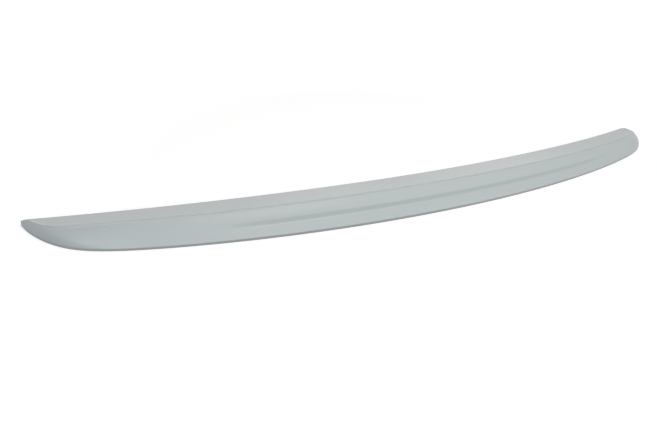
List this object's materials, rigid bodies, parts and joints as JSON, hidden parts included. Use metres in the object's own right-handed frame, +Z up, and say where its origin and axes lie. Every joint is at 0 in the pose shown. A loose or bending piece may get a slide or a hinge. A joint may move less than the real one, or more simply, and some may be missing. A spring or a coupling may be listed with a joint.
{
  "type": "boot lid lip spoiler",
  "caption": "Slim lip spoiler for the rear edge of a car's boot lid: a bowed, crowned one-piece moulding with a sharp crest, a stepped rear face and a ribbed hollow underside.",
  "frame": {"origin": "middle of the bonding flat under the rear edge, on the plane that the lip rests on", "axes": "+X along the lip to its right end seen from behind the car, +Y towards the front of the car, +Z up"},
  "size_m": [1.2, 0.156, 0.031],
  "materials": {
    "primed_plastic": "satin grey primer"
  },
  "bodies": {
    "root": {"spoiler": "primed_plastic"}
  },
  "joints": []
}
